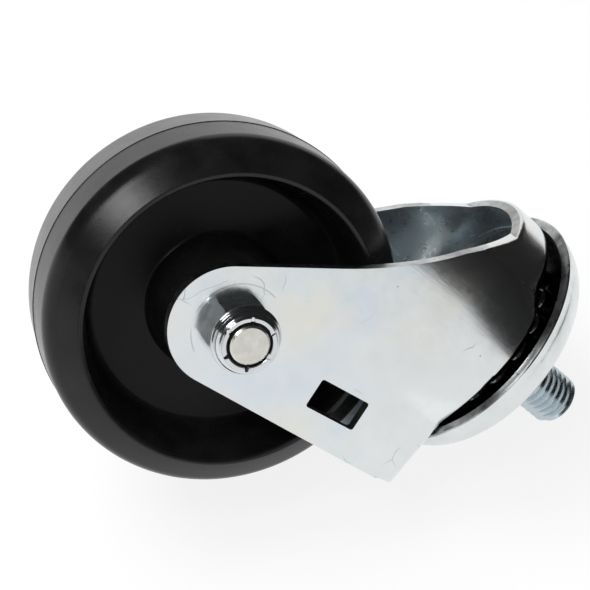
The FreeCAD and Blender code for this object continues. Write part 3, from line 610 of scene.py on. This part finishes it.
bpy.ops.object.select_all(action="DESELECT")
bpy.ops.mesh.primitive_cylinder_add(vertices=6, radius=corner_reach * MM, depth=(nut_face - nut_foot) * MM)
nut = bpy.context.object
nut.name = "lock_nut"
bpy.ops.object.mode_set(mode="EDIT")
bpy.ops.transform.rotate(value=-math.pi / 2, orient_axis="X", center_override=(0, 0, 0))
bpy.ops.object.mode_set(mode="OBJECT")
first = min((v.co for v in nut.data.vertices), key=lambda co: abs(math.atan2(co.z, co.x)))
spin_by = nut_turn - math.atan2(first.z, first.x)
nut.data.transform(Matrix.Rotation(-spin_by, 4, "Y"))
nut.data.transform(Matrix.Translation(axle_place - Vector((0, (nut_face + nut_foot) / 2 * MM, 0))))
nut_bore = bolt_radius + 0.02
blank_reach = hex_flats / 2 + 1.2
blank = turn_piece("nut_blank", [
    (nut_bore, nut_foot - 0.5), (blank_reach, nut_foot - 0.5), (blank_reach, nut_face - 0.65),
    (hex_flats / 2 - 0.1, nut_face + 0.05), (nut_bore, nut_face + 0.05)],
    steps=96, origin=axle_place, along=(0, -1, 0))
cut = nut.modifiers.new("turned_corners", "BOOLEAN")
cut.operation = "INTERSECT"
cut.object = blank
cut.solver = "EXACT"
apply_modifiers(nut)
bpy.data.objects.remove(blank)

collar = turn_piece("nut_collar", [
    (5.0, nut_face - 0.6), (7.0, nut_face - 0.6), (7.15, nut_face - 0.1, 0.25), (6.5, nut_face + 0.25, 0.3),
    (6.55, nut_face + 1.3, 0.6), (6.1, nut_face + 2.0, 0.5), (5.6, collar_top - 0.3, 0.3), (5.55, collar_top, 0.2),
    (4.6, collar_top - 0.05, 0.2), (4.65, collar_top - 0.9), (5.0, collar_top - 0.9)],
    steps=96, origin=axle_place, along=(0, -1, 0))
nick_turn = math.radians(34)
nick_foot, nick_tip, nick_depth, nick_reach = 0.95, 0.15, 2, 5.1
for place in range(6):
    angle = nick_turn + place * math.tau / 6
    bpy.ops.object.select_all(action="DESELECT")
    bpy.ops.mesh.primitive_cone_add(vertices=4, radius1=nick_foot * MM, radius2=nick_tip * MM, depth=nick_depth * MM)
    nick = bpy.context.object
    nick.data.transform(Matrix.Rotation(math.radians(45), 4, "Z"))
    nick.data.transform(Matrix.Rotation(math.radians(90), 4, "Y"))
    nick.data.transform(Matrix.Translation(Vector((nick_reach, 0, 0)) * MM))
    nick.data.transform(Matrix.Rotation(-angle, 4, "Y"))
    nick.data.transform(Matrix.Translation(axle_place - Vector((0, collar_top, 0)) * MM))
    cut = collar.modifiers.new("nick", "BOOLEAN")
    cut.operation = "DIFFERENCE"
    cut.object = nick
    cut.solver = "EXACT"
    apply_modifiers(collar)
    bpy.data.objects.remove(nick)
nut = join(nut, collar)
nut.name = "lock_nut"
smooth(nut, 25)
nut_zinc = plate_zinc("nut_zinc", (0.74, 0.77, 0.79), (0.60, 0.62, 0.63), 0.14, 0.6)
nut.data.materials.clear()
nut.data.materials.append(nut_zinc)
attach(nut, "fork")
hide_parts("axle_nut")

insert_nylon, tree, shader = new_material("insert_nylon")
shader.inputs["Base Color"].default_value = (0.02, 0.02, 0.02, 1)
shader.inputs["Roughness"].default_value = 0.6
grain = add_node(tree, "ShaderNodeTexNoise", Scale=2500.0, Detail=2.0,
                 Vector=add_node(tree, "ShaderNodeTexCoord").outputs["Object"])
bump = add_node(tree, "ShaderNodeBump", Strength=0.3, Distance=0.00002, Height=grain.outputs["Fac"])
tree.links.new(bump.outputs[0], shader.inputs["Normal"])
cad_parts["nut_insert"].data.materials.clear()
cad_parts["nut_insert"].data.materials.append(insert_nylon)


# Wheel
# One moulding of black plastic with a rounded tread, a deep recess each side and a plain hub.
# A fine flash line, where the mould's halves met, runs round the middle of the tread. The three shines
# were set by trial for the photograph's tones, and don't show that the moulding's finish differs: the
# recess's lower shine is painted shade, and the far half's higher shine is a painted sheen.

wheel_radius = 37.5
face_half = 15.625
crease_half = face_half - 2.9
crease_fall = 2.95
tread_half = 9.0
tread_fall = 0.45
lip_radius = wheel_radius - 7.4
root_radius = wheel_radius - 10.35
web_half = 2.45
hub_foot = 14.95
hub_end = 11.3
hub_half = 16.35
bore = 5.58
tread_round = (tread_half ** 2 + tread_fall ** 2) / (2 * tread_fall)
across, down = crease_half - tread_half, crease_fall - tread_fall
hang = (down * (tread_round - tread_fall) - across * tread_half) / tread_round
shoulder_round = (across ** 2 + down ** 2) / (2 * hang)
shoulder_y = tread_half * (1 - shoulder_round / tread_round)
flash = 0.12
# The recess's low shine is painted shade, and the far half's high shine is a painted sheen.
near_shine, recess_painted_shade, far_painted_sheen = 0.32, 0.15, 1.0
tread = [(wheel_radius, 0.06), (wheel_radius - flash, 0.16)]
for y in (0.5, 2.0, 8.0, 8.8):
    tread.append((wheel_radius - flash - (tread_fall - flash) * y / tread_half, y))
tread.append((wheel_radius - tread_fall, tread_half))
shoulder_x = tread[-1][0] - shoulder_round * (tread_round - tread_fall) / tread_round
for step in range(1, 7):
    y = tread_half + across * step / 6
    tread.append((shoulder_x + math.sqrt(shoulder_round ** 2 - (y - shoulder_y) ** 2), y))
half = [*tread[:-1], (*tread[-1], 0.5), (lip_radius + 0.7, face_half - 0.05, 0.5),
        (lip_radius - 0.25, face_half - 0.35, 0.4), (root_radius, web_half, 2.0), (hub_foot, web_half, 0.8),
        (hub_end, hub_half, 0.4), (bore, hub_half, 0.3)]
other = [(corner[0], -corner[1], *corner[2:]) for corner in reversed(half)]
wheel = turn_piece("wheel_moulding", [*half, *other],
                   steps=192, origin=axle_place, along=(0, -1, 0))
smooth(wheel, 40)
wheel_black, tree, shader = new_material("wheel_moulding")
place = add_node(tree, "ShaderNodeTexCoord").outputs["Object"]
shader.inputs["Specular IOR Level"].default_value = near_shine
cloud = add_node(tree, "ShaderNodeTexNoise", Vector=place, Scale=160.0, Detail=6.0, Roughness=0.6)
shade = add_node(tree, "ShaderNodeMapRange", Value=cloud.outputs["Fac"], From_Min=0.3, From_Max=0.75,
                 To_Min=0.0, To_Max=1.0)
tone = add_node(tree, "ShaderNodeMix", {"data_type": "RGBA"}, n0=shade.outputs[0], n6=(0.004, 0.004, 0.0042, 1),
                n7=(0.009, 0.009, 0.009, 1))
tree.links.new(tone.outputs[2], shader.inputs["Base Color"])
sheen = add_node(tree, "ShaderNodeMapRange", Value=cloud.outputs["Fac"], From_Min=0.3, From_Max=0.7,
                 To_Min=0.22, To_Max=0.3)
tree.links.new(sheen.outputs[0], shader.inputs["Roughness"])
grain = add_node(tree, "ShaderNodeTexNoise", Vector=place, Scale=1800.0, Detail=4.0, Roughness=0.6)
bump = add_node(tree, "ShaderNodeBump", Strength=0.25, Distance=0.00003, Height=grain.outputs["Fac"])
tree.links.new(bump.outputs[0], shader.inputs["Normal"])
# A copy with less shine paints shade into the recess.
wheel_recess = wheel_black.copy()
wheel_recess.name = "wheel_recess"
wheel_recess.node_tree.nodes["Principled BSDF"].inputs["Specular IOR Level"].default_value = recess_painted_shade
# A copy with more shine paints a sheen on the far half of the tread.
wheel_far = wheel_black.copy()
wheel_far.name = "wheel_far_half"
wheel_far.node_tree.nodes["Principled BSDF"].inputs["Specular IOR Level"].default_value = far_painted_sheen
wheel.data.materials.clear()
for finish in (wheel_black, wheel_recess, wheel_far):
    wheel.data.materials.append(finish)
# Faces in the recess take the painted shade, and faces on the far half take the painted sheen.
for face in wheel.data.polygons:
    reach = math.hypot(face.center.x / MM - axle_x, face.center.z / MM - axle_z)
    if reach < lip_radius:
        face.material_index = 1
    elif face.center.y > 0:
        face.material_index = 2
    else:
        face.material_index = 0
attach(wheel, "wheel")
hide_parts("wheel")
